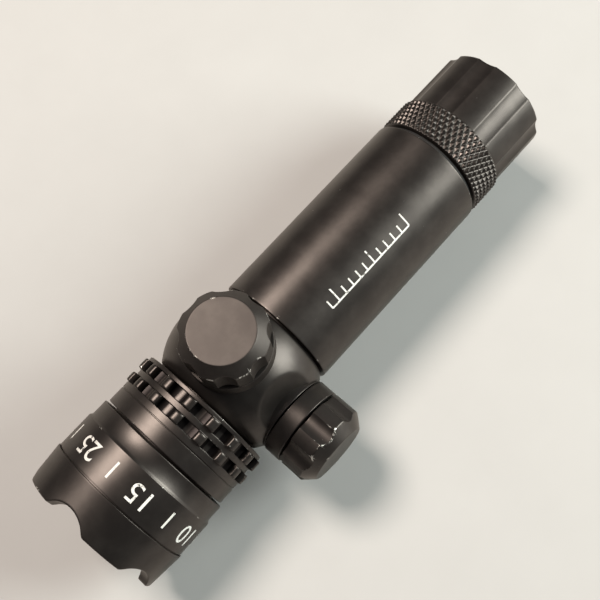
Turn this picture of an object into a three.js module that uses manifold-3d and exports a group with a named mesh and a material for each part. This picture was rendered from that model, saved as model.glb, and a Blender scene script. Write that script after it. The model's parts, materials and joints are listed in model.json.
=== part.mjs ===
// Tube-bodied laser sight with a fluted tail switch, a round turret housing with two capped
// adjusters, and a focusing head. Millimetres. The optical axis is X and the beam leaves along +X.
// Inside this file x is measured from the crossing of the two turret axes (+Z elevation,
// +Y windage); the whole assembly is then moved so that the frame's origin is the middle of
// the plain tube, where a mounting ring grips it.
import * as THREE from 'three';
import { mergeVertices } from 'three/addons/utils/BufferGeometryUtils.js';
import Module from 'manifold-3d';

const wasm = await Module();
wasm.setup();

// ---- driving dimensions -------------------------------------------------------------------
const TUBE_R = 12.7;              // one-inch tube
const TUBE_BORE_R = 10.4;
const TUBE_REAR = -55.5;
const TUBE_FRONT = -9.9;
const RING_SEAT_X = (TUBE_REAR + TUBE_FRONT) / 2;

const GAP = 0.3;                  // between neighbouring faceted pieces
const ROUND = 32;                 // sides of the large turned pieces
const SMALL = 20;                 // sides of the small ones

const HOUSING_R = 15.4;           // spherical turret housing
const HOUSING_REAR = -9.6;
const HOUSING_FRONT = 9.8;
const HOUSING_BORE_R = 8.6;
const SPIGOT_REAR = -15.6;        // threaded end that goes into the tube
const BOSS_R = 8.0;
const BOSS_TOP = 13.6;
const COLLAR_SEAT = 9.9;          // floor of the bore that a turret collar screws into
const COLLAR_SEAT_R = 6.0;
const STEM_BORE_R = 2.8;          // passage for the dial's stem and the plunger
const SPRING_POCKET_R = 2.3;
const SPRING_POCKET_FLOOR = 11.8;
const HEAD_SOCKET = 4.3;          // floor of the bore that the head screws into
const HEAD_SOCKET_R = 9.9;
const BLEND_FLAT = 14.24;         // flat between the bosses, distance from the centre
const BLEND_ANGLE = 30;           // its direction, degrees from +Y towards +Z

const HEAD_REAR = 10.1;
const HEAD_FACE = 21.35;          // shoulder that the focus bezel turns against
const HEAD_SPIGOT_END = 27.8;
const HEAD_BAND_R = 14.3;
const TOOTH_R = 14.9;
const TOOTH_FLOOR_R = 13.1;
const TOOTH_COUNT = 16;
const TOOTH_WIDTH = 2.0;
const TOOTH_PHASE = 17.2;         // degrees from +Y towards +Z
const TOOTH_RINGS = [[10.9, 13.15], [14.3, 16.35]];

const BEZEL_REAR = 21.8;
const BEZEL_FRONT = 40.85;
const BEZEL_R = 15.2;
const BEZEL_REAR_R = 14.8;        // its rear band, which a short cone joins to the wide one
const BEZEL_MOUTH_R = 12.7;
const BEZEL_STEP = 25.05;         // start of that cone
const FLARE_REAR = 33.25;         // the crown's flare, behind it a narrow groove
const FLARE_R = 15.45;
const LENS_SEAT = 29.6;           // where the front lens is held in its carriage
const CARRIAGE_R = 10.6;
const SCALLOP_COUNT = 5;
const SCALLOP_PHASE = 22.5;       // degrees from +Y towards +Z
const SCALLOP_DEPTH = 2.25;
const SCALLOP_CUTTER_R = 5.9;     // each scallop is milled by a round cutter

const PIVOT_X = 16;               // the module tilts about this point
const MODULE_R = 6.0;
const MODULE_REAR = -8.5;
const MODULE_FRONT = 24;

const KNOB_R = 8.26;
const COLLAR_R = 8.22;
const COLLAR_TOP = 17.35;
const KNOB_BASE = 17.75;
const KNOB_SHOULDER = 22.75;
const KNOB_TOP = 25;
const KNOB_FACE_R = 6.14;
const KNOB_FLUTES = 8;
const KNOB_FLUTE_DEPTH = 0.7;
const KNOB_FLUTE_WIDTH = 3.7;

const TAIL_FRONT = -56.7;
const KNURL_REAR = -63.85;
const TAIL_REAR = -77.9;
const TAIL_R = 12.1;
const TAIL_NECK_END = -50;
const TAIL_FLUTES = 8;
const TAIL_FLUTE_PHASE = 12;
const TAIL_FLUTE_DEPTH = 0.5;
const TAIL_FLUTE_WIDTH = 4.1;
const TAIL_BORE_R = 8.7;
const BUTTON_R = 6.2;

const BATTERY_R = 8.4;
const BATTERY_REAR = -50.3;
const BATTERY_FRONT = -15.8;

// ---- materials ------------------------------------------------------------------------------
const finish = (color, roughness, metalness) => () =>
  new THREE.MeshStandardMaterial({ color, roughness, metalness });
const anodised = finish(0x1c1918, 0.42, 0.85);
const brass = finish(0xb08d4a, 0.35, 1);
const steel = finish(0xb9bbbd, 0.3, 1);
const rubber = finish(0x121212, 0.85, 0);
const plastic = finish(0x2a2a2c, 0.6, 0);
const nylon = finish(0xd8d4c8, 0.6, 0);
const glass = finish(0xb8d8e0, 0.05, 0);
const board = finish(0x1f5a34, 0.6, 0.1);
const cellWrap = finish(0x5c6068, 0.5, 0.1);

// ---- geometry helpers -----------------------------------------------------------------------

/** Merges shared vertices, drops collapsed triangles and turns all faces outwards. */
function closed(geometry) {
  let g = geometry.clone();
  g.deleteAttribute('normal');
  g.deleteAttribute('uv');
  g = mergeVertices(g, 1e-4);
  const p = g.attributes.position;
  const index = g.index.array;
  const kept = [];
  let volume = 0;
  const [a, b, c] = [new THREE.Vector3(), new THREE.Vector3(), new THREE.Vector3()];
  for (let i = 0; i < index.length; i += 3) {
    const [u, v, w] = [index[i], index[i + 1], index[i + 2]];
    if (u === v || v === w || w === u) continue;
    kept.push(u, v, w);
    a.fromBufferAttribute(p, u);
    b.fromBufferAttribute(p, v);
    c.fromBufferAttribute(p, w);
    volume += a.dot(b.cross(c));
  }
  if (volume < 0) {
    for (let i = 0; i < kept.length; i += 3) {
      [kept[i + 1], kept[i + 2]] = [kept[i + 2], kept[i + 1]];
    }
  }
  g.setIndex(kept);
  return g;
}

function solid(geometry) {
  const g = closed(geometry);
  const vertProperties = new Float32Array(g.attributes.position.array);
  const triVerts = new Uint32Array(g.index.array);
  return new wasm.Manifold(new wasm.Mesh({ numProp: 3, vertProperties, triVerts }));
}

function geometryOf(manifold) {
  const mesh = manifold.getMesh();
  const g = new THREE.BufferGeometry();
  g.setAttribute('position', new THREE.BufferAttribute(mesh.vertProperties, 3));
  g.setIndex(new THREE.BufferAttribute(mesh.triVerts, 1));
  return g;
}

/** Turned piece about X from a profile of [x, r] pairs; a hollow profile closes on itself. */
function turned(profile, sides = ROUND) {
  const points = profile.map(([x, r]) => new THREE.Vector2(r, x));
  const hollow = profile[0][1] > 0;
  if (hollow) points.push(points[0].clone());
  return closed(new THREE.LatheGeometry(points, sides).rotateZ(-Math.PI / 2));
}

/** The same about Z, for the turrets, from [z, r] pairs. */
function turnedZ(profile, sides = SMALL) {
  return turned(profile, sides).rotateY(-Math.PI / 2);
}

const ring = (x0, x1, inner, outer, sides) =>
  turned([[x0, inner], [x0, outer], [x1, outer], [x1, inner]], sides);
const disc = (x0, x1, r, sides) => turned([[x0, 0], [x0, r], [x1, r], [x1, 0]], sides);

/** Rubber ring of round section about X. */
function oRing(x, r, section, sides = SMALL) {
  const corners = 6;
  const profile = [];
  for (let i = 0; i < corners; i++) {
    const t = (2 * Math.PI * i) / corners;
    profile.push([x + section * Math.cos(t), r - section * Math.sin(t)]);
  }
  return turned(profile, sides);
}

/** Helix about Z between two heights, as a round wire. */
class Helix extends THREE.Curve {
  constructor(z0, z1, r, turns) {
    super();
    Object.assign(this, { z0, z1, r, turns });
  }
  getPoint(t, target = new THREE.Vector3()) {
    const a = 2 * Math.PI * this.turns * t;
    const z = this.z0 + (this.z1 - this.z0) * t;
    return target.set(this.r * Math.cos(a), this.r * Math.sin(a), z);
  }
}

function coil(z0, z1, r, wire, turns) {
  const section = new THREE.Shape();
  const corners = 4;
  for (let i = 0; i < corners; i++) {
    const t = (2 * Math.PI * i) / corners;
    const [u, v] = [wire * Math.cos(t), wire * Math.sin(t)];
    if (i === 0) section.moveTo(u, v);
    else section.lineTo(u, v);
  }
  section.closePath();
  const steps = Math.round(turns * 8);
  const path = new Helix(z0, z1, r, turns);
  return closed(new THREE.ExtrudeGeometry(section, { steps, extrudePath: path, bevelEnabled: false }));
}

/** Round cutter running along X, at radius r and angle (degrees from +Y towards +Z). */
function rod(x0, x1, r, angle, radius) {
  const a = THREE.MathUtils.degToRad(angle);
  return solid(disc(x0, x1, radius, 16).translate(0, r * Math.cos(a), r * Math.sin(a)));
}

/** Radius of the round cutter that leaves a flute of this width and depth on a cylinder. */
function fluteCutter(surfaceR, width, depth) {
  const bow = surfaceR - Math.sqrt(surfaceR ** 2 - (width / 2) ** 2);
  const drop = depth - bow;
  const radius = ((width / 2) ** 2 + drop ** 2) / (2 * drop);
  return { radius, centre: surfaceR - depth + radius };
}

// ---- the assembly ---------------------------------------------------------------------------
const assembly = new THREE.Group();
assembly.position.x = -RING_SEAT_X;
const elevation = new THREE.Group();
const windage = new THREE.Group();
windage.rotation.x = -Math.PI / 2;
assembly.add(elevation, windage);

function add(name, shape, material, group = assembly) {
  const geometry = shape.isBufferGeometry ? shape : geometryOf(shape);
  const mesh = new THREE.Mesh(geometry, material());
  mesh.name = name;
  group.add(mesh);
}

// ---- tube and power -------------------------------------------------------------------------
function makeTube() {
  const edge = 0.25;
  const socketR = HOUSING_BORE_R + 2.6;
  add('main_tube', turned([
    [TUBE_REAR, TUBE_BORE_R], [TUBE_REAR, TUBE_R - edge], [TUBE_REAR + edge, TUBE_R],
    [TUBE_FRONT - edge, TUBE_R], [TUBE_FRONT, TUBE_R - edge], [TUBE_FRONT, socketR],
    [SPIGOT_REAR - GAP, socketR], [SPIGOT_REAR - GAP, TUBE_BORE_R],
  ]), anodised);

  const sleeveRear = BATTERY_REAR + 1;
  const sleeveFront = BATTERY_FRONT - 0.5;
  add('battery_sleeve',
    ring(sleeveRear, sleeveFront, BATTERY_R + GAP, TUBE_BORE_R - GAP, SMALL), nylon);
  const nub = BATTERY_FRONT - 1;
  const nubR = 3;
  add('battery_cell', turned([
    [BATTERY_REAR, 0], [BATTERY_REAR, BATTERY_R], [nub, BATTERY_R], [nub, nubR],
    [BATTERY_FRONT, nubR], [BATTERY_FRONT, 0],
  ], SMALL), cellWrap);

  const boardRear = -14.5;
  const boardFront = boardRear + 1.2;
  add('front_contact', disc(BATTERY_FRONT + GAP, boardRear - GAP, 2.4, 16), brass);
  add('contact_board', disc(boardRear, boardFront, HOUSING_BORE_R - GAP, SMALL), board);
  const lead = new THREE.CatmullRomCurve3([
    new THREE.Vector3(boardFront + GAP, 0, -3), new THREE.Vector3(-11.8, 0, -3.2),
    new THREE.Vector3(-10.6, 0, -2.4), new THREE.Vector3(-9.4, 0, -2),
  ]);
  const section = new THREE.Shape().absarc(0, 0, 0.5, 0, 2 * Math.PI);
  add('power_lead', closed(new THREE.ExtrudeGeometry(section, {
    steps: 8, curveSegments: 4, extrudePath: lead, bevelEnabled: false,
  })), rubber);
}

// ---- turret housing -------------------------------------------------------------------------
function makeHousing() {
  const wide = 40;                // wider than the whole housing
  const ball = solid(new THREE.SphereGeometry(HOUSING_R, 28, 18).rotateZ(Math.PI / 2));
  const length = HOUSING_FRONT - HOUSING_REAR;
  const middle = (HOUSING_FRONT + HOUSING_REAR) / 2;
  const slab = solid(new THREE.BoxGeometry(length, wide, wide).translate(middle, 0, 0));
  const turretSeats = new THREE.BoxGeometry(wide, wide, wide);
  turretSeats.translate(0, BOSS_TOP - wide / 2, BOSS_TOP - wide / 2);
  let body = ball.intersect(slab).intersect(solid(turretSeats));

  const cut = 10;
  const blend = new THREE.BoxGeometry(wide, cut, wide).translate(0, BLEND_FLAT + cut / 2, 0);
  blend.rotateX(THREE.MathUtils.degToRad(BLEND_ANGLE));
  body = body.subtract(solid(blend));

  const onBothTurrets = (r, bottom, top, sides) => {
    const cylinder = new THREE.CylinderGeometry(r, r, top - bottom, sides);
    cylinder.translate(0, (top + bottom) / 2, 0);
    return solid(cylinder).add(solid(cylinder.clone().rotateX(Math.PI / 2)));
  };
  const bossFoot = 4;
  const spigotFront = -8;
  body = body.add(onBothTurrets(BOSS_R, bossFoot, BOSS_TOP, SMALL));
  body = body.add(solid(disc(SPIGOT_REAR, spigotFront, HOUSING_BORE_R + 2.3)));

  body = body.subtract(solid(disc(SPIGOT_REAR - 1, HOUSING_FRONT + 1, HOUSING_BORE_R, SMALL)));
  body = body.subtract(solid(disc(HEAD_SOCKET, HOUSING_FRONT + 1, HEAD_SOCKET_R, SMALL)));
  body = body.subtract(onBothTurrets(COLLAR_SEAT_R, COLLAR_SEAT, BOSS_TOP + 1, SMALL));
  body = body.subtract(onBothTurrets(STEM_BORE_R, 0, COLLAR_SEAT + 0.6, SMALL));
  body = body.subtract(onBothTurrets(SPRING_POCKET_R, -SPRING_POCKET_FLOOR, 0, 16));
  add('turret_housing', body, anodised);
}

// ---- one turret, built along +Z of its group ------------------------------------------------
function makeTurret(side, group) {
  const collarNeckTop = 20.4;
  const collarNeckR = 6.2;
  const dialFloor = 16.7;         // the dial's flange turns above this face of the collar
  const dialWellR = 4.7;
  add(`${side}_collar`, turnedZ([
    [COLLAR_SEAT + GAP, STEM_BORE_R], [COLLAR_SEAT + GAP, COLLAR_SEAT_R - GAP],
    [BOSS_TOP + GAP, COLLAR_SEAT_R - GAP], [BOSS_TOP + GAP, COLLAR_R], [COLLAR_TOP, COLLAR_R],
    [COLLAR_TOP, collarNeckR], [collarNeckTop, collarNeckR], [collarNeckTop, dialWellR],
    [dialFloor, dialWellR], [dialFloor, STEM_BORE_R],
  ], 24), anodised, group);

  const stemR = STEM_BORE_R - 0.4;
  const stemEnd = 10.9;
  const dialR = dialWellR - 0.4;
  const dialTop = collarNeckTop + GAP;
  const slot = new THREE.BoxGeometry(9.4, 1.1, 1).translate(0, 0, dialTop - 0.1);
  const dial = solid(turnedZ([
    [stemEnd, 0], [stemEnd, stemR], [dialFloor + GAP, stemR], [dialFloor + GAP, dialR],
    [dialTop, dialR], [dialTop, 0],
  ]));
  add(`${side}_dial`, dial.subtract(solid(slot)), brass, group);
  const plungerTip = MODULE_R + GAP;
  const plungerR = STEM_BORE_R - 0.5;
  const plungerTop = 10.3;
  add(`${side}_plunger`, turnedZ([
    [plungerTip, 0], [plungerTip, 1.4], [plungerTip + 0.6, plungerR], [plungerTop, plungerR],
    [plungerTop, 0],
  ], 20), steel, group);

  const capBoreR = collarNeckR + 0.4;
  const grooveR = 7.4;            // holds the cap's seal
  const capFloor = 22;
  const seal = oRing(19.2, 6.83, 0.3).rotateY(-Math.PI / 2);
  add(`${side}_cap_o_ring`, seal, rubber, group);
  let cap = solid(turnedZ([
    [KNOB_BASE, capBoreR], [KNOB_BASE, KNOB_R], [KNOB_SHOULDER, KNOB_R],
    [KNOB_TOP, KNOB_FACE_R], [KNOB_TOP, 0], [capFloor, 0], [capFloor, capBoreR],
    [19.9, capBoreR], [19.9, grooveR], [18.5, grooveR], [18.5, capBoreR],
    [KNOB_BASE, capBoreR],
  ], 24));
  const { radius, centre } = fluteCutter(KNOB_R, KNOB_FLUTE_WIDTH, KNOB_FLUTE_DEPTH);
  const length = KNOB_TOP - KNOB_BASE + 2;
  for (let i = 0; i < KNOB_FLUTES; i++) {
    const flute = new THREE.CylinderGeometry(radius, radius, length, 16).rotateX(Math.PI / 2);
    flute.translate(centre, 0, (KNOB_TOP + KNOB_BASE) / 2);
    flute.rotateZ((2 * Math.PI * i) / KNOB_FLUTES);
    cap = cap.subtract(solid(flute));
  }
  add(`${side}_cap`, cap, anodised, group);

  const spring = coil(0.6 - SPRING_POCKET_FLOOR, -MODULE_R - 0.9, 1.7, 0.22, 3.5);
  add(`${side}_return_spring`, spring, steel, group);
}

// ---- head, focusing bezel and front lens ----------------------------------------------------
function makeHead() {
  const [rear, front] = TOOTH_RINGS;
  const spigotR = 12.6;
  const spigotBoreR = 11;
  const grooveR = 11.7;           // holds the bezel's seal
  const socketEnd = HEAD_SOCKET + GAP;
  const socketR = HEAD_SOCKET_R - GAP;
  const rearBandR = HEAD_BAND_R - 0.1;
  const midBandR = HEAD_BAND_R - 0.3;
  let head = solid(turned([
    [socketEnd, HOUSING_BORE_R], [socketEnd, socketR], [HEAD_REAR, socketR],
    [HEAD_REAR, rearBandR], [rear[0], rearBandR], [rear[0], TOOTH_FLOOR_R],
    [rear[1], TOOTH_FLOOR_R], [rear[1], midBandR], [front[0], midBandR],
    [front[0], TOOTH_FLOOR_R], [front[1], TOOTH_FLOOR_R], [front[1], HEAD_BAND_R],
    [HEAD_FACE, HEAD_BAND_R], [HEAD_FACE, spigotR], [24, spigotR], [24, grooveR],
    [25.6, grooveR], [25.6, spigotR], [HEAD_SPIGOT_END, spigotR],
    [HEAD_SPIGOT_END, spigotBoreR], [22, spigotBoreR], [22, HOUSING_BORE_R],
  ]));
  for (const [x0, x1] of TOOTH_RINGS) {
    const length = x1 - x0;
    const depth = TOOTH_R - TOOTH_FLOOR_R + 0.4;
    for (let i = 0; i < TOOTH_COUNT; i++) {
      const tooth = new THREE.BoxGeometry(length, depth, TOOTH_WIDTH);
      tooth.translate((x0 + x1) / 2, TOOTH_R - depth / 2, 0);
      tooth.rotateX(THREE.MathUtils.degToRad(TOOTH_PHASE + (360 * i) / TOOTH_COUNT));
      head = head.add(solid(tooth));
    }
  }
  add('head_body', head, anodised);
  add('bezel_o_ring', oRing(24.8, 12.32, 0.3), rubber);
}

function makeBezel() {
  const edge = 0.2;
  const skirtR = 13;              // slides over the head's spigot
  const mouthR = 12.4;            // takes the carriage's flange
  const throatR = 11;
  const groove = FLARE_REAR - 0.25;
  const grooveR = BEZEL_R - 0.3;
  let bezel = solid(turned([
    [BEZEL_REAR, skirtR], [BEZEL_REAR, BEZEL_REAR_R - edge], [BEZEL_REAR + edge, BEZEL_REAR_R],
    [BEZEL_STEP, BEZEL_REAR_R], [BEZEL_STEP + 0.6, BEZEL_R], [groove, BEZEL_R],
    [groove, grooveR], [FLARE_REAR, grooveR], [FLARE_REAR, FLARE_R],
    [BEZEL_FRONT - 0.6, 14.8], [BEZEL_FRONT, 14.3], [BEZEL_FRONT, BEZEL_MOUTH_R],
    [35.6, mouthR], [33.5, mouthR], [33.5, throatR], [30, throatR], [30, skirtR],
  ]));
  for (let i = 0; i < SCALLOP_COUNT; i++) {
    const cutter = new THREE.CylinderGeometry(SCALLOP_CUTTER_R, SCALLOP_CUTTER_R, 8, 40);
    cutter.translate(BEZEL_FRONT - SCALLOP_DEPTH + SCALLOP_CUTTER_R, 14, 0);
    cutter.rotateX(THREE.MathUtils.degToRad(SCALLOP_PHASE + (360 * i) / SCALLOP_COUNT));
    bezel = bezel.subtract(solid(cutter));
  }
  add('focus_bezel', bezel, anodised);

  const carriageRear = 23.5;
  const flange = 33.8;
  const flangeFront = 35.2;
  const flangeR = mouthR - GAP;
  const lensBoreR = 8.4;
  const lightR = 7.2;
  add('lens_carriage', turned([
    [carriageRear, lightR], [carriageRear, CARRIAGE_R], [flange, CARRIAGE_R],
    [flange, flangeR], [flangeFront, flangeR], [flangeFront, lensBoreR],
    [LENS_SEAT, lensBoreR], [LENS_SEAT, lightR],
  ], 24), anodised);
  add('carriage_clip', ring(28.8, 29.7, CARRIAGE_R + GAP, mouthR, SMALL), steel);
  add('lens_o_ring', oRing(30.15, 7.75, 0.22), rubber);
  add('front_lens', turned([
    [30.7, 0], [30.7, 8.05], [32.1, 8.05], [32.7, 6.2], [33.15, 3.6], [33.3, 1.5], [33.35, 0],
  ], 20), glass);
  add('lens_retaining_ring', ring(33.65, 34.7, 6.9, lensBoreR - GAP, SMALL), anodised);
}

// ---- laser module ---------------------------------------------------------------------------
function makeModule() {
  const boreR = 4.7;
  const apertureR = 2.6;
  const nose = MODULE_FRONT - 1.2;
  add('module_barrel', turned([
    [MODULE_REAR, boreR], [MODULE_REAR, MODULE_R], [MODULE_FRONT, MODULE_R],
    [MODULE_FRONT, apertureR], [nose, apertureR], [nose, boreR],
  ], SMALL), brass);
  add('pivot_o_ring', oRing(PIVOT_X, 7.3, 0.95), rubber);

  const insideR = boreR - GAP;
  add('expander_lens', turned([
    [20.6, 0], [20.6, insideR], [22.5, insideR], [22.5, 3.4], [22.1, 1.8], [21.9, 0],
  ], 16), glass);
  add('expander_retaining_ring', ring(19.2, 20.3, 3.2, insideR, 16), brass);
  add('diode_heat_sink', ring(4.5, 9.5, apertureR + GAP, insideR, 16), brass);
  add('laser_diode', turned([
    [6.2, 0], [6.2, apertureR], [9.8, apertureR], [9.8, 4.2], [10.9, 4.2], [10.9, 2.3],
    [13.2, 2.3], [13.2, 0],
  ], 16), steel);

  const boardThickness = 1;
  const chips = [[-1, 1.8, 2.4, 3.2], [-4.5, -2, 1.8, 2.0], [0.8, -1.7, 1.6, 1.4]];
  let driver = solid(new THREE.BoxGeometry(10, 7.4, boardThickness).translate(-1.5, 0, 0));
  for (const [x, y, width, length] of chips) {
    const chip = new THREE.BoxGeometry(length, width, 1.6).translate(x, y, boardThickness);
    driver = driver.add(solid(chip));
  }
  add('driver_board', driver, board);
}

// ---- tail cap and switch --------------------------------------------------------------------
function makeTail() {
  const edge = 0.5;
  const neckR = TUBE_BORE_R - GAP;
  const buttonHoleR = BUTTON_R + GAP;
  const endWall = -75.4;          // inner face of the wall that holds the rubber boot
  let cap = solid(turned([
    [TAIL_NECK_END, TAIL_BORE_R], [TAIL_NECK_END, neckR], [TAIL_FRONT, neckR],
    [TAIL_FRONT, TUBE_R - edge], [TAIL_FRONT - edge, TUBE_R], [KNURL_REAR + edge, TUBE_R],
    [KNURL_REAR, TUBE_R - edge], [KNURL_REAR, TAIL_R], [TAIL_REAR + edge, TAIL_R],
    [TAIL_REAR, TAIL_R - edge], [TAIL_REAR, BUTTON_R + 1], [TAIL_REAR + 1.5, buttonHoleR],
    [endWall, buttonHoleR], [endWall, TAIL_BORE_R],
  ]));
  const { radius, centre } = fluteCutter(TAIL_R, TAIL_FLUTE_WIDTH, TAIL_FLUTE_DEPTH);
  for (let i = 0; i < TAIL_FLUTES; i++) {
    const angle = TAIL_FLUTE_PHASE + (360 * i) / TAIL_FLUTES;
    cap = cap.subtract(rod(TAIL_REAR - 1, KNURL_REAR, centre, angle, radius));
  }
  add('tail_cap', cap, anodised);
  add('tail_o_ring', oRing(-56.1, 11.2, 0.5, 24), rubber);

  const insideR = TAIL_BORE_R - GAP;
  add('tail_spring', coil(-62.6, -51, 4.2, 0.4, 5).rotateY(Math.PI / 2), steel);
  add('switch_retaining_ring', ring(-62.9, -61.7, 6.6, insideR, SMALL), brass);
  add('switch_board', disc(-64.4, -63.2, insideR, SMALL), board);
  add('switch_body', disc(-70.4, -64.7, 7.6, 20), plastic);
  add('button_plunger', disc(-74.1, -72.1, 3.2, 16), plastic);

  const rim = endWall + GAP;      // the boot's flange is gripped behind the wall
  const rimInner = rim + 0.7;
  add('button_boot', turned([
    [-77.6, 0], [-77.4, 3.6], [-76.8, 5.6], [-76.2, BUTTON_R], [rim, BUTTON_R], [rim, 7.9],
    [rimInner, 7.9], [rimInner, 0],
  ], SMALL), rubber);
}

makeTube();
makeHousing();
makeTurret('elevation', elevation);
makeTurret('windage', windage);
makeHead();
makeBezel();
makeModule();
makeTail();

export default assembly;
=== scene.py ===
"""Looks of the laser sight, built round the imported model.

Shapes are drawn in millimetres, measured from the crossing of the two turret axes, and put
into the model's frame in metres. A turned piece is a set of columns: each column is the
piece's profile at one angle, so flutes, teeth and scallops keep exact edges.
"""
import json
import math

import bmesh
import bpy
from mathutils import Matrix, Vector


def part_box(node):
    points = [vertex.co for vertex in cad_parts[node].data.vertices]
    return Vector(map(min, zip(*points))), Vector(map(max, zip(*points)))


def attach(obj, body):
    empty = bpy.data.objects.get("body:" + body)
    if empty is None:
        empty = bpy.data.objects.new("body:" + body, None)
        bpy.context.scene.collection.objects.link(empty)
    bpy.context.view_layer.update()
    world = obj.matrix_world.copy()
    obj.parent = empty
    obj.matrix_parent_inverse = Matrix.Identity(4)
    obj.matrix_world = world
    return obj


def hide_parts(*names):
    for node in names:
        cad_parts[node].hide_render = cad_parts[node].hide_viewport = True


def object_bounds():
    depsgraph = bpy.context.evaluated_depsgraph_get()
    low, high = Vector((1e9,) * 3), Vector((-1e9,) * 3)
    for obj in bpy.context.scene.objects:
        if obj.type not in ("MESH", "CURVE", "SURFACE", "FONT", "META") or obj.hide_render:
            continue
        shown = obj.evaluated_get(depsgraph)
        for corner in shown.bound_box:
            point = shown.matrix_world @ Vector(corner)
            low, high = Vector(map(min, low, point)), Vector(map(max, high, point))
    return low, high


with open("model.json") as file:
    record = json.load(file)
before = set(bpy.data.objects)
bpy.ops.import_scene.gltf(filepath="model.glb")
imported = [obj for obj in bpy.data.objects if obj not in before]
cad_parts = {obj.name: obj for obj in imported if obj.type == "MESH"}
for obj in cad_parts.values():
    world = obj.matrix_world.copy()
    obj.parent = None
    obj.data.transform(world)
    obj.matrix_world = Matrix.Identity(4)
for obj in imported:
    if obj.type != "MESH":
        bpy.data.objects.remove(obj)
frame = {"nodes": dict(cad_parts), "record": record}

CAD_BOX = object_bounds()
MM = 0.001
TURRET_X = sum(corner.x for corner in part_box("elevation_cap")) / 2 / MM


# ---- sizes, in millimetres from the turret crossing ----------------------------------------
def extent(node, axis):
    """Lowest and highest value of a CAD node along an axis (0, 1 or 2)."""
    shift = TURRET_X if axis == 0 else 0
    low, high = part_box(node)
    return low[axis] / MM - shift, high[axis] / MM - shift


TUBE_REAR, TUBE_FRONT = extent("main_tube", 0)
TUBE_R = extent("main_tube", 2)[1]
TUBE_BORE_R = 10.4
BEZEL_REAR, BEZEL_FRONT = extent("focus_bezel", 0)
HEAD_REAR, HEAD_SPIGOT_END = 10.1, extent("head_body", 0)[1]
HEAD_FACE = 21.35
TAIL_REAR = extent("tail_cap", 0)[0]
TAIL_NECK_END = extent("tail_cap", 0)[1]
TAIL_FRONT = -56.7
KNURL_REAR = -63.85
TAIL_R = 12.1
HOUSING_R = 15.4
HOUSING_REAR, HOUSING_FRONT = -9.6, extent("turret_housing", 0)[1]
SPIGOT_REAR = extent("turret_housing", 0)[0]
SPIGOT_R = 10.9
HOUSING_BORE_R = 8.6
HEAD_SOCKET, HEAD_SOCKET_R = 4.3, 9.9   # the bore that the head screws into
SEAT_R = 6.0                            # the bore that a collar screws into
STEM_BORE_R = 2.8
BOSS_R = 8.0
THREAD_GAP = 0.3                        # between a screwed piece and its bore
BOSS_TOP = 13.6
KNOB_R = 8.26
KNOB_FACE_R = 6.14
KNOB_SHOULDER = 22.75
KNOB_BASE, KNOB_TOP = extent("elevation_cap", 2)
COLLAR_R = 8.22
COLLAR_BASE, COLLAR_TOP = 13.9, 17.35
TAIL_BORE_R = 8.7
BUTTON_R = 6.2


TURRETS = (("elevation", "Z"), ("windage", "Y"))


# ---- mesh tools ------------------------------------------------------------------------------
GUARD = 0.16        # width of plain surface kept beside a rounded corner
CHIPPED = 2.0       # wear where the finish is knocked off for certain
CORNER_STEPS = 4


def rounded(corners, closed=True):
    """Points (x, r, wear and painted shade) of a profile whose corners (x, r, fillet) are
    rounded.

    Profiles run clockwise: up the rear face, forward along the outside, down the front face.
    The third value is 1 on outer corners, where the finish rubs off; below zero, set elsewhere,
    it marks painted shade.
    """
    points = []
    last = len(corners) - 1
    for i, (x, r, fillet) in enumerate(corners):
        if fillet == 0 or (not closed and i in (0, last)):
            points.append((x, r, 0.0))
            continue
        here = Vector((x, r))
        before = Vector(corners[i - 1][:2]) - here
        after = Vector(corners[(i + 1) % len(corners)][:2]) - here
        outer = before.x * after.y - before.y * after.x > 0
        starts = []
        for side in (before, after):
            reach = min(fillet, 0.4 * side.length)
            guard = min(reach + GUARD, 0.47 * side.length)
            starts.append((here + side.normalized() * reach, here + side.normalized() * guard))
        (a, guard_a), (b, guard_b) = starts
        points.append((guard_a.x, guard_a.y, 0.0))
        for k in range(CORNER_STEPS + 1):
            t = k / CORNER_STEPS
            p = a * (1 - t) ** 2 + here * 2 * t * (1 - t) + b * t ** 2
            points.append((p.x, p.y, 1.0 if outer else 0.0))
        points.append((guard_b.x, guard_b.y, 0.0))
    return points


def even(count):
    return [2 * math.pi * i / count for i in range(count)]


def turret_frame(axis):
    """Takes a piece drawn along X to the axis it stands on, in metres."""
    turns = {
        "X": Matrix.Identity(4),
        "Z": Matrix.Rotation(-math.pi / 2, 4, "Y"),
        "Y": Matrix.Rotation(-math.pi / 2, 4, "X") @ Matrix.Rotation(-math.pi / 2, 4, "Y"),
    }
    return Matrix.Translation((TURRET_X * MM, 0, 0)) @ turns[axis] @ Matrix.Scale(MM, 4)


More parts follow.
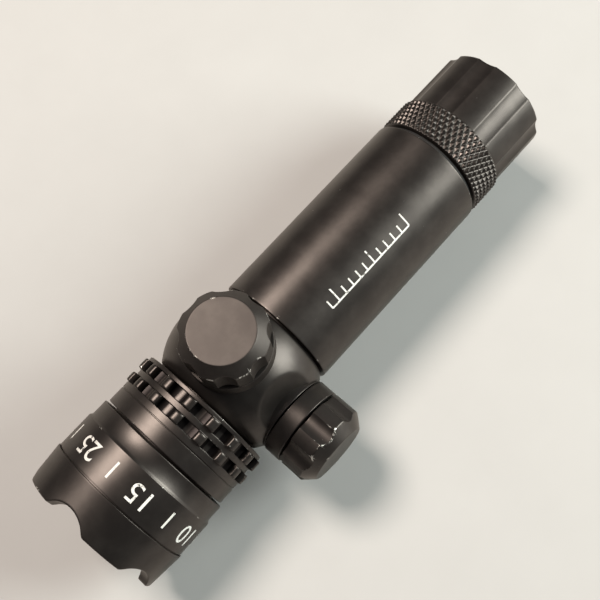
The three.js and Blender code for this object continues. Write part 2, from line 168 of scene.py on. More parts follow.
class Surface:
    """Vertices with wear and painted shade, and faces, gathered from one or more columns."""

    def __init__(self):
        self.points, self.wear, self.faces = [], [], []

    def columns(self, columns, closed=True):
        start = len(self.points)
        rows = len(columns[0][1])
        for angle, profile in columns:
            for x, r, wear in profile:
                self.points.append((x, r * math.cos(angle), r * math.sin(angle)))
                self.wear.append(wear)
        count = len(columns)
        for i in range(count):
            here, following = start + i * rows, start + (i + 1) % count * rows
            for k in range(rows if closed else rows - 1):
                up = (k + 1) % rows
                self.faces.append((here + k, following + k, following + up, here + up))
        return self

    def lathe(self, corners, count=144, closed=True):
        profile = rounded(corners, closed)
        return self.columns([(a, profile) for a in even(count)], closed)

    def build(self, name, material, axis="X", sharp=38):
        mesh = bpy.data.meshes.new(name)
        mesh.from_pydata(self.points, [], self.faces)
        mesh.attributes.new("wear", "FLOAT", "POINT").data.foreach_set("value", self.wear)
        bm = bmesh.new()
        bm.from_mesh(mesh)
        bmesh.ops.remove_doubles(bm, verts=bm.verts, dist=1e-4)
        bmesh.ops.dissolve_degenerate(bm, edges=bm.edges, dist=1e-5)
        bmesh.ops.recalc_face_normals(bm, faces=bm.faces)
        bm.transform(turret_frame(axis))
        bm.to_mesh(mesh)
        bm.free()
        mesh.shade_smooth()
        mesh.set_sharp_from_angle(angle=math.radians(sharp))
        return new_object(name, mesh, material)


def new_object(name, mesh, material):
    piece = bpy.data.objects.new(name, mesh)
    bpy.context.scene.collection.objects.link(piece)
    mesh.materials.append(material)
    return piece


def settle(piece, body, slot, *nodes):
    """The piece rides on a body and stands for CAD nodes, which it hides. The slot argument is
    not used.
    """
    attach(piece, body)
    if nodes:
        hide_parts(*nodes)
    return piece


class Flutes:
    """Round flutes cut along a turned piece."""

    def __init__(self, count, phase, surface, width, depth):
        self.pitch = 2 * math.pi / count
        self.count, self.phase, self.surface = count, math.radians(phase), surface
        self.half = math.asin(width / 2 / surface)
        bow = surface - math.sqrt(surface ** 2 - (width / 2) ** 2)
        drop = depth - bow
        self.cutter = ((width / 2) ** 2 + drop ** 2) / (2 * drop)
        self.centre = surface - depth + self.cutter

    def angles(self, inside=14, outside=8):
        """(angle, wear) of columns that follow each flute and the land beside it."""
        rub = GUARD / self.surface
        found = []
        for i in range(self.count):
            middle = self.phase + i * self.pitch
            for k in range(inside + 1):
                found.append((middle + self.half * (2 * k / inside - 1), float(k in (0, inside))))
            start, width = self.half + rub, self.pitch - 2 * (self.half + rub)
            for k in range(outside + 1):
                found.append((middle + start + width * k / outside, 0.0))
        return found

    def radius(self, angle):
        off = (angle - self.phase + self.pitch / 2) % self.pitch - self.pitch / 2
        if abs(off) >= self.half:
            return self.surface
        reach = self.cutter ** 2 - (self.centre * math.sin(off)) ** 2
        return self.centre * math.cos(off) - math.sqrt(reach)


# ---- materials -------------------------------------------------------------------------------
class Shader:
    """A small helper that adds and links nodes of one material."""

    def __init__(self, name):
        self.material = bpy.data.materials.new(name)
        self.material.use_nodes = True
        self.tree = self.material.node_tree
        self.bsdf = self.tree.nodes["Principled BSDF"]
        self.position = self.node("ShaderNodeTexCoord").outputs["Object"]

    def node(self, kind, **values):
        node = self.tree.nodes.new(kind)
        for key, value in values.items():
            if hasattr(node, key):
                setattr(node, key, value)
            else:
                node.inputs[key.replace("_", " ")].default_value = value
        return node

    def link(self, output, socket):
        self.tree.links.new(output, socket)

    def set(self, **values):
        for key, value in values.items():
            self.bsdf.inputs[key.replace("_", " ")].default_value = value

    def stretched(self, scale):
        node = self.node("ShaderNodeMapping")
        node.inputs["Scale"].default_value = scale
        self.link(self.position, node.inputs["Vector"])
        return node.outputs["Vector"]

    def noise(self, scale, detail=4.0, roughness=0.6, vector=None):
        node = self.node("ShaderNodeTexNoise", Scale=scale, Detail=detail, Roughness=roughness)
        self.link(vector or self.position, node.inputs["Vector"])
        return node.outputs["Fac"]

    def speckle(self, scale, size, vector=None):
        """1 inside small scattered dots."""
        node = self.node("ShaderNodeTexVoronoi", Scale=scale, feature="F1")
        self.link(vector or self.position, node.inputs["Vector"])
        return self.ramp(node.outputs["Distance"], size, size * 0.6)

    def ramp(self, value, low, high):
        node = self.node("ShaderNodeMapRange", interpolation_type="SMOOTHSTEP")
        node.inputs["From Min"].default_value = low
        node.inputs["From Max"].default_value = high
        self.link(value, node.inputs["Value"])
        return node.outputs["Result"]

    def scaled(self, value, low, high):
        node = self.node("ShaderNodeMapRange")
        node.inputs["To Min"].default_value = low
        node.inputs["To Max"].default_value = high
        self.link(value, node.inputs["Value"])
        return node.outputs["Result"]

    def math(self, operation, a, b):
        node = self.node("ShaderNodeMath", operation=operation)
        for socket, value in zip(node.inputs, (a, b)):
            if isinstance(value, (int, float)):
                socket.default_value = value
            else:
                self.link(value, socket)
        return node.outputs["Value"]

    def mix(self, factor, a, b):
        node = self.node("ShaderNodeMix", data_type="RGBA")
        self.link(factor, node.inputs["Factor"])
        for socket, value in ((node.inputs[6], a), (node.inputs[7], b)):
            if isinstance(value, tuple):
                socket.default_value = (*value, 1.0)
            else:
                self.link(value, socket)
        return node.outputs[2]

    def bump(self, height, strength, distance=1e-4):
        node = self.node("ShaderNodeBump", Strength=strength, Distance=distance)
        self.link(height, node.inputs["Height"])
        previous = self.bsdf.inputs["Normal"].links
        if previous:
            self.link(previous[0].from_socket, node.inputs["Normal"])
        self.link(node.outputs["Normal"], self.bsdf.inputs["Normal"])


GRAIN = {"X": (9000, 120, 120), "Y": (120, 9000, 120), "Z": (120, 120, 9000)}
BARE = (0.62, 0.59, 0.55)


def anodised(name, axis, roughness=(0.32, 0.42), rub=0.30, grain=0.05):
    """Satin black anodised aluminium with turning grain, rubbed corners, a few chips and painted
    shade, near black where the wear attribute is below zero.
    """
    s = Shader(name)
    s.set(Metallic=0.86, Specular_Tint=(1.0, 0.95, 0.9, 1.0))
    patches = s.noise(180, 3)
    colour = s.mix(s.ramp(patches, 0.3, 0.75), (0.050, 0.043, 0.040), (0.070, 0.061, 0.056))

    wear = s.node("ShaderNodeAttribute", attribute_name="wear").outputs["Fac"]
    ragged = s.noise(1400, 5, 0.75)
    here_and_there = s.ramp(s.noise(150, 2), 0.58, 0.62)
    rubbed = s.math("MULTIPLY", s.ramp(ragged, 0.86 - rub, 0.92 - rub), here_and_there)
    worn = s.math("MULTIPLY", s.ramp(wear, 0.55, 0.95), rubbed)
    chipped = s.math("MULTIPLY", s.ramp(wear, 1.3, 1.7), s.ramp(ragged, 0.47, 0.52))
    nicks = s.math("MULTIPLY", s.speckle(900, 0.055), s.ramp(s.noise(300, 2), 0.60, 0.64))
    bare = s.math("MAXIMUM", s.math("MAXIMUM", worn, chipped), nicks)
    # Painted shade: where the wear value is below zero, in the tooth rings' recesses, the colour
    # is darkened to near black.
    colour_with_painted_shade = s.mix(s.ramp(wear, -0.1, -0.9), colour, (0.010, 0.008, 0.008))
    s.link(s.mix(bare, colour_with_painted_shade, BARE), s.bsdf.inputs["Base Color"])

    turning = s.noise(1.0, 3, 0.7, s.stretched(GRAIN[axis]))
    blasted = s.noise(6500, 3, 0.8)
    rough = s.scaled(s.math("ADD", s.math("MULTIPLY", turning, 0.5),
                            s.math("MULTIPLY", patches, 0.5)), *roughness)
    s.link(rough, s.bsdf.inputs["Roughness"])
    s.bump(turning, grain, 2e-5)
    s.bump(blasted, 0.35, 1.5e-5)
    s.bump(bare, 0.3, -4e-5)
    return s.material


def metal(name, colour, roughness=(0.25, 0.4)):
    """Bare turned metal with fine tool marks and a slight tarnish."""
    s = Shader(name)
    s.set(Metallic=1.0)
    tarnish = s.noise(350, 4)
    darker = tuple(c * 0.62 for c in colour)
    s.link(s.mix(s.ramp(tarnish, 0.35, 0.7), colour, darker), s.bsdf.inputs["Base Color"])
    turning = s.noise(1.0, 2, 0.7, s.stretched(GRAIN["X"]))
    s.link(s.scaled(turning, *roughness), s.bsdf.inputs["Roughness"])
    s.bump(turning, 0.12, 2e-5)
    return s.material


def moulded(name, colour, roughness=(0.5, 0.7), grain=6000, depth=0.25):
    """Rubber, plastic, nylon or board: fine grain and slight mottling."""
    s = Shader(name)
    s.set(Metallic=0.0)
    mottle = s.noise(420, 3)
    lighter = tuple(min(1, c * 1.35 + 0.004) for c in colour)
    s.link(s.mix(s.ramp(mottle, 0.35, 0.7), colour, lighter), s.bsdf.inputs["Base Color"])
    texture = s.noise(grain, 3)
    s.link(s.scaled(texture, *roughness), s.bsdf.inputs["Roughness"])
    s.bump(texture, depth, 3e-5)
    return s.material


def coated_glass(name):
    """Clear lens with a faint cool coating and a little dust."""
    s = Shader(name)
    s.set(IOR=1.52, Transmission_Weight=0.92, Coat_Weight=0.5, Coat_Roughness=0.03)
    s.bsdf.inputs["Coat Tint"].default_value = (0.75, 0.85, 1.0, 1.0)
    dust = s.math("MULTIPLY", s.speckle(900, 0.07), 0.6)
    s.link(s.mix(dust, (0.80, 0.90, 0.95), (0.6, 0.6, 0.58)), s.bsdf.inputs["Base Color"])
    s.link(s.scaled(s.noise(1500, 4), 0.02, 0.09), s.bsdf.inputs["Roughness"])
    return s.material


def printed(name):
    """White pad printing, rubbed thin in places."""
    s = Shader(name)
    s.set(Metallic=0.0)
    thin = s.ramp(s.noise(1100, 6, 0.8), 0.54, 0.60)
    s.link(s.mix(thin, (0.80, 0.78, 0.74), (0.09, 0.08, 0.075)), s.bsdf.inputs["Base Color"])
    s.link(s.scaled(s.noise(5000, 2), 0.45, 0.7), s.bsdf.inputs["Roughness"])
    return s.material


ANODISED = {axis: anodised(f"anodised_{axis}", axis) for axis in "XY"}
ANODISED["Z"] = anodised("anodised_Z", "Z", (0.42, 0.54))
KNURLED = anodised("anodised_knurl", "X", (0.26, 0.36), rub=0.36, grain=0.02)
PRINT = printed("white_print")
BRASS = metal("turned_brass", (0.62, 0.44, 0.18))
STEEL = metal("bright_steel", (0.55, 0.55, 0.56))
RUBBER = moulded("black_rubber", (0.012, 0.012, 0.012), (0.6, 0.85))
PLASTIC = moulded("black_plastic", (0.018, 0.018, 0.02))
NYLON = moulded("nylon", (0.62, 0.59, 0.52))
BOARD = moulded("circuit_board", (0.015, 0.11, 0.045), (0.35, 0.55), 2500)
WRAP = moulded("battery_wrap", (0.10, 0.11, 0.13), (0.28, 0.4), 900, 0.08)
GLASS = coated_glass("coated_glass")

SLOT_MATERIALS = {
    "anodised_aluminium": ANODISED["X"], "brass": BRASS, "steel": STEEL, "rubber": RUBBER,
    "black_plastic": PLASTIC, "nylon": NYLON, "glass": GLASS, "circuit_board": BOARD,
    "battery_wrap": WRAP,
}


def finish_cad_nodes():
    """Every carried-over node takes its slot's material."""
    for part in frame["record"]["subparts"]:
        node = frame["nodes"][part["node"]]
        node.data.materials.clear()
        node.data.materials.append(SLOT_MATERIALS[part["material_slot"]])


# ---- tube ------------------------------------------------------------------------------------
def make_tube():
    socket = HOUSING_BORE_R + 2.6
    socket_floor = SPIGOT_REAR - THREAD_GAP
    shell = Surface().lathe([
        (TUBE_REAR, TUBE_BORE_R, 0), (TUBE_REAR, TUBE_R, 0.22), (TUBE_FRONT, TUBE_R, 0.22),
        (TUBE_FRONT, socket, 0), (socket_floor, socket, 0), (socket_floor, TUBE_BORE_R, 0),
    ], 192)
    settle(shell.build("tube_shell", ANODISED["X"]), "sight_body", "anodised_aluminium",
           "main_tube")


# ---- turret housing --------------------------------------------------------------------------
BLEND_FLAT = 14.24
BLEND_ANGLE = math.radians(30)
BLEND_EDGE = 0.12                       # how softly the flat runs into the ball


def soft_min(a, b, width):
    """The smaller of two values, eased over a width where they meet."""
    h = max(width - abs(a - b), 0) / width
    return min(a, b) - h * h * width / 4


def housing_radius(x, angle):
    """Ball, with the flat between the bosses and the two turret seats cut into it."""
    r = math.sqrt(HOUSING_R ** 2 - x ** 2)
    lean = math.cos(angle - BLEND_ANGLE)
    if lean > 0.2:
        r = soft_min(r, BLEND_FLAT / lean, BLEND_EDGE)
    for towards in (math.cos(angle), math.sin(angle)):
        if towards > 0.3:
            r = min(r, BOSS_TOP / towards)
    return r


def make_housing():
    """Ball and turret bosses. The ball's wall is left whole where the turrets stand in it."""
    rows = 72
    edge = 0.25
    ball = Surface()
    columns = []
    for angle in even(288):
        profile = [(SPIGOT_REAR, HOUSING_BORE_R, 0), (SPIGOT_REAR, SPIGOT_R, 0),
                   (HOUSING_REAR, SPIGOT_R, 0)]
        for k in range(rows + 1):
            x = HOUSING_REAR + (HOUSING_FRONT - HOUSING_REAR) * k / rows
            r = housing_radius(x, angle)
            ends = max(min(x - HOUSING_REAR, HOUSING_FRONT - x), 0)
            if ends < edge:
                r -= edge - math.sqrt(edge ** 2 - (edge - ends) ** 2)
            profile.append((x, r, 1.0 if ends < 0.1 else 0.0))
        profile += [(HOUSING_FRONT, HEAD_SOCKET_R, 0), (HEAD_SOCKET, HEAD_SOCKET_R, 0),
                    (HEAD_SOCKET, HOUSING_BORE_R, 0)]
        columns.append((angle, profile))
    ball.columns(columns)
    settle(ball.build("housing_ball", ANODISED["X"]), "sight_body", "anodised_aluminium",
           "turret_housing")
    boss_foot = 11
    for side, axis in TURRETS:
        boss = Surface().lathe([(boss_foot, SEAT_R, 0), (boss_foot, BOSS_R, 0),
                                (BOSS_TOP, BOSS_R, 0.15), (BOSS_TOP, SEAT_R, 0)])
        settle(boss.build(f"{side}_boss", ANODISED[axis], axis), "sight_body",
               "anodised_aluminium", "turret_housing")


# ---- turrets ---------------------------------------------------------------------------------
def thread(start, end, root, crest, pitch):
    """Corners of a row of small thread ridges on the outside."""
    corners = []
    count = int((end - start) / pitch)
    for i in range(count):
        x = start + (i + 0.5) * pitch
        corners += [(x - pitch / 2, root, 0), (x, crest, 0)]
    return corners + [(start + count * pitch, root, 0)]


def make_collar(side, axis):
    foot, neck_top, dial_floor = 10.2, 20.4, 16.7
    foot_r, well_r = SEAT_R - THREAD_GAP, 4.7
    root, crest, pitch = 5.95, 6.2, 0.5
    corners = [(foot, STEM_BORE_R, 0), (foot, foot_r, 0), (COLLAR_BASE, foot_r, 0),
               (COLLAR_BASE, COLLAR_R, 0.14), (COLLAR_TOP, COLLAR_R, 0.16), (COLLAR_TOP, root, 0)]
    corners += thread(COLLAR_TOP + 0.2, neck_top - 0.1, root, crest, pitch)
    corners += [(neck_top, root, 0), (neck_top, well_r, 0.1), (dial_floor, well_r, 0),
                (dial_floor, STEM_BORE_R, 0)]
    collar = Surface().lathe(corners)
    settle(collar.build(f"{side}_turret_collar", ANODISED[axis], axis), "sight_body",
           "anodised_aluminium", f"{side}_collar")


# where each cap is knocked: places on the rim of its face, and on its shoulder
CAP_CHIPS = {
    "elevation": (((148, 5),), ((-20, 9), (6, 4), (-62, 4))),
    "windage": (((205, 4),), ((178, 16), (212, 5))),
}


def near(angle, places):
    """True where an angle lies in one of the places, each (middle, half width) in degrees."""
    return any(abs((math.degrees(angle) - middle + 180) % 360 - 180) < half
               for middle, half in places)


def make_cap(side, axis, rim_chips, shoulder_chips):
    bore, seal_groove = 6.6, 7.2
    flutes = Flutes(8, 0, KNOB_R, 3.7, 0.7)
    slope = (KNOB_TOP - KNOB_SHOULDER) / (KNOB_R - KNOB_FACE_R)
    columns = []
    for angle, rub in flutes.angles():
        r = flutes.radius(angle)
        meet = KNOB_SHOULDER + (KNOB_R - r) * slope
        profile = rounded([
            (22, 0, 0), (22, bore, 0), (19.9, bore, 0), (19.9, seal_groove, 0),
            (18.5, seal_groove, 0), (18.5, bore, 0), (KNOB_BASE, bore, 0),
            (KNOB_BASE, r, 0.12), (meet, r, 0.16),
            (KNOB_TOP, KNOB_FACE_R, 0.14), (KNOB_TOP, 5.0, 0), (KNOB_TOP, 0, 0),
        ], closed=False)
        worn = []
        for x, rad, wear in profile:
            if KNOB_BASE + 0.3 < x < KNOB_TOP - 0.3:
                wear = max(wear, rub)
            if wear and (near(angle, rim_chips) and x > KNOB_TOP - 0.3
                         or near(angle, shoulder_chips) and abs(x - meet) < 0.4):
                wear = CHIPPED
            worn.append((x, rad, wear))
        columns.append((angle, worn))
    cap = Surface().columns(columns, closed=False)
    settle(cap.build(f"{side}_fluted_cap", ANODISED[axis], axis), f"{side}_cap",
           "anodised_aluminium", f"{side}_cap")


# ---- head ------------------------------------------------------------------------------------
TOOTH_R, TOOTH_FLOOR_R, TOOTH_COUNT = 14.9, 13.0, 16
TOOTH_WIDTH, TOOTH_PHASE, TOOTH_EDGE = 2.05, math.radians(17.2), 0.5
TOOTH_CROWN, TOOTH_STEPS = 0.45, 10     # how far a tooth's top is rounded down at its sides
FLOOR_HOLLOW, FLOOR_STEPS = 0.5, 14     # the floor's dip between two teeth
FLOOR_UNSHADED = 0.22                      # share of the floor's middle that is left free of painted shade
TOOTH_RINGS = ((10.9, 13.15), (14.3, 16.35))
BAND_R = 14.3


def head_profile(height, edge, painted_shade=0.0):
    """Profile through the two tooth rings at one height; the last argument is painted shade that
    darkens the rings' ground.
    """
    (a, b), (c, d) = TOOTH_RINGS
    socket_end, socket_r = HEAD_SOCKET + THREAD_GAP, HEAD_SOCKET_R - THREAD_GAP
    rear_band, middle_band = BAND_R - 0.1, BAND_R - 0.3
    line_rear, line_front, line_r = 17.75, 17.95, BAND_R - 0.16
    root, crest, pitch = 12.3, 12.6, 0.75
    bore_step, bore_r = 22, 11
    corners = [
        (socket_end, HOUSING_BORE_R, 0), (socket_end, socket_r, 0), (HEAD_REAR, socket_r, 0),
        (HEAD_REAR, rear_band, 0.15),
        (a, rear_band, 0.1), (a, height, edge), (b, height, edge), (b, middle_band, 0.1),
        (c, middle_band, 0.1), (c, height, edge), (d, height, edge), (d, BAND_R, 0.1),
        (line_rear, BAND_R, 0.05), (line_rear + 0.05, line_r, 0),
        (line_front - 0.05, line_r, 0), (line_front, BAND_R, 0.05),
        (HEAD_FACE, BAND_R, 0.2), (HEAD_FACE, root, 0),
    ]
    corners += thread(HEAD_FACE + 0.3, HEAD_SPIGOT_END - 0.3, root, crest, pitch)
    corners += [(HEAD_SPIGOT_END, root, 0), (HEAD_SPIGOT_END, bore_r, 0),
                (bore_step, bore_r, 0), (bore_step, HOUSING_BORE_R, 0)]
    profile = rounded(corners)
    # Painted shade: a negative wear value darkens the ground of both rings.
    if painted_shade:
        profile = [(x, r, -painted_shade if a <= x <= b or c <= x <= d else wear)
                   for x, r, wear in profile]
    return profile


def make_head():
    """Two rings of pillow-topped teeth with hollow-ground floors between them, darkened with
    painted shade except down each floor's middle.
    """
    half = TOOTH_WIDTH / 2 / TOOTH_R
    pitch = 2 * math.pi / TOOTH_COUNT
    foot_half = half * 1.02
    gap = pitch - 2 * foot_half
    # The teeth's feet get full painted shade.
    foot = head_profile(TOOTH_FLOOR_R + FLOOR_HOLLOW / 2, 0.1, 1.0)
    columns = []
    for i in range(TOOTH_COUNT):
        middle = TOOTH_PHASE + i * pitch
        columns.append((middle - foot_half, foot))
        for k in range(TOOTH_STEPS + 1):
            t = 2 * k / TOOTH_STEPS - 1
            off = math.sin(t * math.pi / 2)
            top = TOOTH_R - TOOTH_CROWN * (1 - math.sqrt(max(1 - off * off, 0)))
            columns.append((middle + half * off, head_profile(top, TOOTH_EDGE)))
        columns.append((middle + foot_half, foot))
        for k in range(1, FLOOR_STEPS):
            t = 2 * k / FLOOR_STEPS - 1
            floor = TOOTH_FLOOR_R + FLOOR_HOLLOW * (t * t - 0.5)
            # Painted shade on the floor, strongest at its sides, none down its middle.
            painted_shade = min(max(5 * (abs(t) - FLOOR_UNSHADED), 0.01), 1)
            columns.append((middle + foot_half + gap * k / FLOOR_STEPS,
                            head_profile(floor, 0.1, painted_shade)))
    head = Surface().columns(columns)
    settle(head.build("head_barrel", ANODISED["X"], sharp=50), "sight_body",
           "anodised_aluminium", "head_body")


# ---- focusing bezel --------------------------------------------------------------------------
SCALLOP_COUNT, SCALLOP_PHASE = 5, math.radians(22.5)
SCALLOP_DEPTH, SCALLOP_CUTTER, SCALLOP_BLEND = 2.25, 5.9, 0.7
FLARE_START, FLARE_R, RIM_R = 33.25, 15.45, 14.8
BEZEL_R, BEZEL_REAR_R = 15.2, 14.8


def scallop(angle):
    """How far the crown is cut back at an angle, by a round cutter with its edges eased."""
    pitch = 2 * math.pi / SCALLOP_COUNT
    off = (angle - SCALLOP_PHASE + pitch / 2) % pitch - pitch / 2
    reach = SCALLOP_CUTTER ** 2 - (off * RIM_R) ** 2
    cut = SCALLOP_DEPTH - SCALLOP_CUTTER + math.sqrt(max(reach, 0))
    return -soft_min(0, -cut, SCALLOP_BLEND)


def make_bezel():
    step_rear, step_front = 25.05, 25.65    # a cone joins the rear band to the wide one
    groove, groove_r = 33, 14.85
    skirt_r, mouth_r, throat_r = 13, 12.4, 11
    columns = []
    for angle in even(540):
        front = BEZEL_FRONT - scallop(angle)
        rim = FLARE_R + (RIM_R - FLARE_R) * (front - FLARE_START) / (BEZEL_FRONT - FLARE_START)
        columns.append((angle, rounded([
            (BEZEL_REAR, skirt_r, 0), (BEZEL_REAR, BEZEL_REAR_R, 0.18),
            (step_rear, BEZEL_REAR_R, 0), (step_front, BEZEL_R, 0.08),
            (groove, BEZEL_R, 0.08), (groove, groove_r, 0), (FLARE_START, groove_r, 0),
            (FLARE_START, FLARE_R, 0.12), (front, rim, 0.32), (front, 12.75, 0.18),
            (35.6, mouth_r, 0), (33.5, mouth_r, 0), (33.5, throat_r, 0), (30, throat_r, 0),
            (30, skirt_r, 0),
        ])))
    bezel = Surface().columns(columns)
    settle(bezel.build("crown_bezel", ANODISED["X"]), "focus_bezel", "anodised_aluminium",
           "focus_bezel")


# ---- front lens ------------------------------------------------------------------------------
def make_lens():
    lens_rear, lens_edge, lens_front, lens_r = 30.75, 31.6, 33.35, 8.05
    bulge = lens_front - lens_edge
    dome = [(lens_rear, 0, 0), (lens_rear, lens_r, 0.1), (lens_edge, lens_r, 0.1)]
    dome += [(lens_front - bulge * (r / lens_r) ** 2, r, 0) for r in range(7, -1, -1)]
    lens = Surface().lathe(dome, 96, closed=False)
    settle(lens.build("objective_lens", GLASS), "lens_cell", "glass", "front_lens")
    carriage = Surface().lathe([
        (23.5, 7.2, 0), (23.5, 10.6, 0.1), (33.8, 10.6, 0), (33.8, 12.1, 0.1),
        (35.2, 12.1, 0.2), (35.2, 8.4, 0.15), (29.6, 8.4, 0), (29.6, 7.2, 0),
    ], 96)
    settle(carriage.build("lens_holder", ANODISED["X"]), "lens_cell", "anodised_aluminium",
           "lens_carriage")
    ring = Surface().lathe([(33.65, 6.9, 0.1), (33.65, 8.1, 0), (34.7, 8.1, 0.1),
                            (34.7, 7.5, 0), (34.4, 6.9, 0.1)], 96)
    settle(ring.build("lens_ring", ANODISED["X"]), "lens_cell", "anodised_aluminium",
           "lens_retaining_ring")


# ---- tail cap --------------------------------------------------------------------------------
KNURL_DEPTH = 0.5
KNURL_TEETH = 60
KNURL_EDGE = 0.5
KNURL_HELIX = math.radians(30)
KNURL_BORE_R = 10
GROOVE_STEEPNESS = 2.1              # a little over 2 leaves each pyramid a narrow flat tip


def knurl_height(x, angle):
    """Pyramids left between two opposed sets of V grooves, 30 degrees off the axis."""
    along = x * math.tan(KNURL_HELIX) / TUBE_R
    deep = 0
    for turn in (angle + along, angle - along):
        phase = turn * KNURL_TEETH / (2 * math.pi) % 1
        deep = max(deep, 1 - GROOVE_STEEPNESS * min(phase, 1 - phase))
    return max(deep, 0)


def make_knurl():
    steps = 66
    columns = []
    for angle in even(KNURL_TEETH * 10):
        profile = [(KNURL_REAR, KNURL_BORE_R, 0), (KNURL_REAR, TUBE_R - KNURL_EDGE, 0)]
        for k in range(1, steps):
            x = KNURL_REAR + (TAIL_FRONT - KNURL_REAR) * k / steps
            ends = min(x - KNURL_REAR, TAIL_FRONT - x)
            r = TUBE_R - max(0, KNURL_EDGE - ends)
            deep = knurl_height(x, angle)
            floor = min(r, TUBE_R - KNURL_DEPTH * deep)
            tip_wear = 0.62 * (1 - deep)
            profile.append((x, floor, tip_wear if ends > KNURL_EDGE else 0.2))
        profile += [(TAIL_FRONT, TUBE_R - KNURL_EDGE, 0), (TAIL_FRONT, KNURL_BORE_R, 0)]
        columns.append((angle, profile))
    ring = Surface().columns(columns)
    settle(ring.build("knurled_ring", KNURLED, sharp=80), "tail_cap", "anodised_aluminium",
           "tail_cap")


def make_tail():
    end_wall, chamfer_front, hole = -75.4, -76.4, BUTTON_R + THREAD_GAP
    root, crest, pitch = 9.75, 10.1, 1.0
    flutes = Flutes(8, 12, TAIL_R, 4.1, 0.5)
    columns = []
    for angle, rub in flutes.angles(16, 12):
        r = flutes.radius(angle)
        profile = rounded([
            (end_wall, TAIL_BORE_R, 0), (end_wall, hole, 0), (chamfer_front, hole, 0),
            (TAIL_REAR, BUTTON_R + 1, 0.15), (TAIL_REAR, r, 0.45), (KNURL_REAR, r, 0.05),
            (KNURL_REAR, KNURL_BORE_R, 0), (TAIL_FRONT + 0.1, KNURL_BORE_R, 0),
        ] + thread(TAIL_FRONT + 0.9, TAIL_NECK_END - 0.2, root, crest, pitch)
            + [(TAIL_NECK_END, 9.7, 0), (TAIL_NECK_END, TAIL_BORE_R, 0)])
        edge_wear = 0.45 * rub          # on the outside only
        columns.append((angle, [(x, rad, max(wear, edge_wear * (rad > 11)))
                                for x, rad, wear in profile]))
    tail = Surface().columns(columns)
    settle(tail.build("fluted_tail", ANODISED["X"]), "tail_cap", "anodised_aluminium",
           "tail_cap")
    seal_x, seal_r, section = -56.1, 11.2, 0.5
    ring = [(seal_x + section * math.cos(t), seal_r - section * math.sin(t), 0) for t in even(16)]
    seal = Surface().columns([(angle, ring) for angle in even(96)])
    settle(seal.build("tail_seal_ring", RUBBER), "tail_seal", "rubber", "tail_o_ring")


def make_button():
    ribs = [(-77.58, 0, 0), (-77.56, 1.2, 0), (-77.5, 2.2, 0)]
    for r in (2.4, 3.2, 4.0, 4.8):
        crown = -77.5 + 0.10 * (r - 2.2) ** 2 * 0.9
        ribs += [(crown + 0.14, r, 0), (crown - 0.05, r + 0.2, 0), (crown + 0.02, r + 0.5, 0)]
    ribs += [(-76.3, 6.2, 0.3), (-75.1, 6.2, 0), (-75.1, 7.9, 0), (-74.4, 7.9, 0), (-74.4, 0, 0)]
    boot = Surface().lathe(ribs, 96, closed=False)
    settle(boot.build("switch_boot", RUBBER), "button", "rubber", "button_boot")


# ---- printing --------------------------------------------------------------------------------
INK = 0.02


def wrap(piece, radius, x0, angle0):
    """Bends a flat mark (u along the turn, v along +X, in mm) onto a cylinder about X."""
    bm = bmesh.new()
    bm.from_mesh(piece.data)
    widths = [v.co.x for v in bm.verts]
    low, high = min(widths), max(widths)
    cuts = int((high - low) / 0.35)
    for i in range(1, cuts + 1):
        u = low + (high - low) * i / (cuts + 1)
        parts = bm.verts[:] + bm.edges[:] + bm.faces[:]
        bmesh.ops.bisect_plane(bm, geom=parts, plane_co=(u, 0, 0), plane_no=(1, 0, 0))
    for v in bm.verts:
        angle = angle0 + v.co.x / radius
        r = radius + INK + v.co.z
        v.co = Vector((x0 + v.co.y, r * math.cos(angle), r * math.sin(angle)))
    bm.transform(turret_frame("X"))
    bm.to_mesh(piece.data)
    bm.free()


def flat_text(name, words, height):
    curve = bpy.data.curves.new(name, "FONT")
    curve.body = words
    curve.size = height / 0.70
    curve.align_x = "CENTER"
    curve.align_y = "CENTER"
    curve.extrude = 0.012
    drawn = bpy.data.objects.new(name, curve)
    bpy.context.scene.collection.objects.link(drawn)
    bpy.context.view_layer.update()
    mesh = bpy.data.meshes.new_from_object(drawn.evaluated_get(
        bpy.context.evaluated_depsgraph_get()))
    bpy.data.objects.remove(drawn)
    mesh.materials.clear()
    return new_object(name, mesh, PRINT)


def flat_bars(name, bars):
    """Thin raised rectangles (centre u, centre v, width, length), in mm."""
    mesh = bpy.data.meshes.new(name)
    bm = bmesh.new()
    for u, v, width, length in bars:
        size = Matrix.Diagonal((width, length, 0.024, 1))
        bmesh.ops.create_cube(bm, size=1, matrix=Matrix.Translation((u, v, 0)) @ size)
    bm.to_mesh(mesh)
    bm.free()
    return new_object(name, mesh, PRINT)


def make_focus_marks():
    """Focus distances round the bezel, with a tick between each."""
    radius, middle, letter_height = BEZEL_R, 29.2, 3.7
    first, step = 14, 51.4              # degrees from +Y towards +Z
    distances = ("10", "15", "25", "50", "100", "200", "300")
    for i, words in enumerate(distances):
        number = flat_text(f"focus_number_{i}", words, letter_height)
        wrap(number, radius, middle, math.radians(first + step * i))
        settle(number, "focus_bezel", "anodised_aluminium")
    ticks = [(radius * math.radians(first + step * (i + 0.5)), 0, 0.45, 3.4)
             for i in range(len(distances))]
    marks = flat_bars("focus_ticks", ticks)
    wrap(marks, radius, middle, 0)
    settle(marks, "focus_bezel", "anodised_aluminium")


def make_tube_marks():
    """A graduated line along the tube, for setting the ring at the same place again."""
    scale_length, spacing = 22, 2
    bars = [(0, 0, 0.35, scale_length)]
    for i in range(scale_length // spacing + 1):
        length = 3.0 if i % 5 == 0 else 1.8
        bars.append((length / 2, -scale_length / 2 + spacing * i, length, 0.32))
    scale = flat_bars("ring_position_scale", bars)
    wrap(scale, TUBE_R, (TUBE_REAR + TUBE_FRONT) / 2 + 3, math.radians(52))
    settle(scale, "sight_body", "anodised_aluminium")


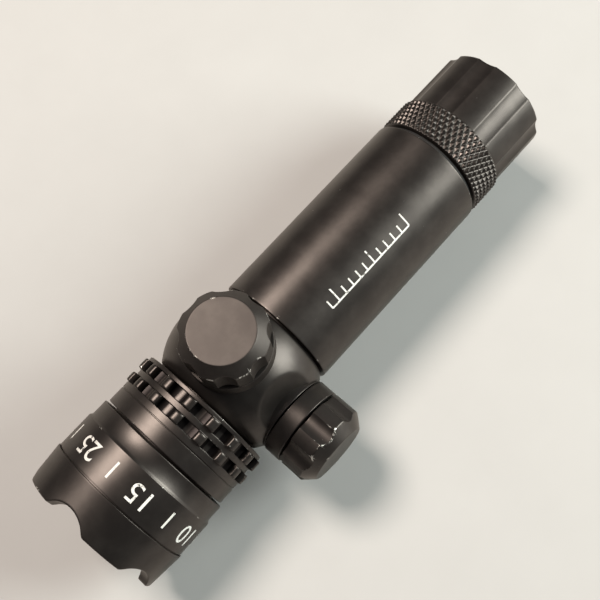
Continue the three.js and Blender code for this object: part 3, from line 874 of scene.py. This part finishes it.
# ---- stage -----------------------------------------------------------------------------------
def make_floor():
    mesh = bpy.data.meshes.new("floor")
    size = 4.0
    height = CAD_BOX[0][2] - 0.0002
    mesh.from_pydata([(-size, -size, height), (size, -size, height), (size, size, height),
                      (-size, size, height)], [], [(0, 1, 2, 3)])
    s = Shader("pale_floor")
    s.link(s.mix(s.noise(60, 4), (0.50, 0.49, 0.48), (0.54, 0.53, 0.52)),
           s.bsdf.inputs["Base Color"])
    s.set(Roughness=0.75)
    new_object("floor", mesh, s.material)


def area_light(name, position, target, size, power, colour):
    data = bpy.data.lights.new(name, "AREA")
    data.shape = "DISK"
    data.size, data.energy, data.color = size, power, colour
    lamp = bpy.data.objects.new(name, data)
    lamp.location = position
    lamp.rotation_euler = (Vector(target) - Vector(position)).to_track_quat("-Z", "Y").to_euler()
    bpy.context.scene.collection.objects.link(lamp)


def make_light():
    """A warm lamp overhead and a cooler window low at the tail's left."""
    world = bpy.data.worlds.new("studio")
    world.use_nodes = True
    world.node_tree.nodes["Background"].inputs["Color"].default_value = (0.95, 0.97, 1.0, 1)
    world.node_tree.nodes["Background"].inputs["Strength"].default_value = 0.08
    bpy.context.scene.world = world
    bpy.context.scene.view_settings.view_transform = "Standard"
    centre = (TURRET_X * MM, 0, 0)
    area_light("ceiling", (0.04, -0.37, 0.71), centre, 0.30, 7.0, (1.0, 0.90, 0.81))
    area_light("window", (-0.53, 0.47, 0.33), centre, 0.50, 9.5, (0.93, 1.0, 0.95))


def make_camera():
    """Close, high three-quarter view on the two turrets."""
    eye = Vector((16.968 + TURRET_X, 46.629, 163.206)) * MM
    right = Vector((-0.66705, 0.74147, -0.07261))
    up = Vector((-0.71719, -0.61269, 0.33205))
    back = right.cross(up)
    data = bpy.data.cameras.new("camera")
    data.sensor_width = 36
    data.lens = 52.26
    data.clip_start, data.clip_end = 0.01, 20
    camera = bpy.data.objects.new("camera", data)
    turn = Matrix((right, up, back)).transposed().to_4x4()
    camera.matrix_world = Matrix.Translation(eye) @ turn
    bpy.context.scene.collection.objects.link(camera)
    bpy.context.scene.camera = camera


make_camera()
make_light()
make_floor()
finish_cad_nodes()
make_tube()
make_housing()
for turret_side, turret_axis in TURRETS:
    make_collar(turret_side, turret_axis)
    make_cap(turret_side, turret_axis, *CAP_CHIPS[turret_side])
make_head()
make_bezel()
make_lens()
make_knurl()
make_tail()
make_button()
make_focus_marks()
make_tube_marks()
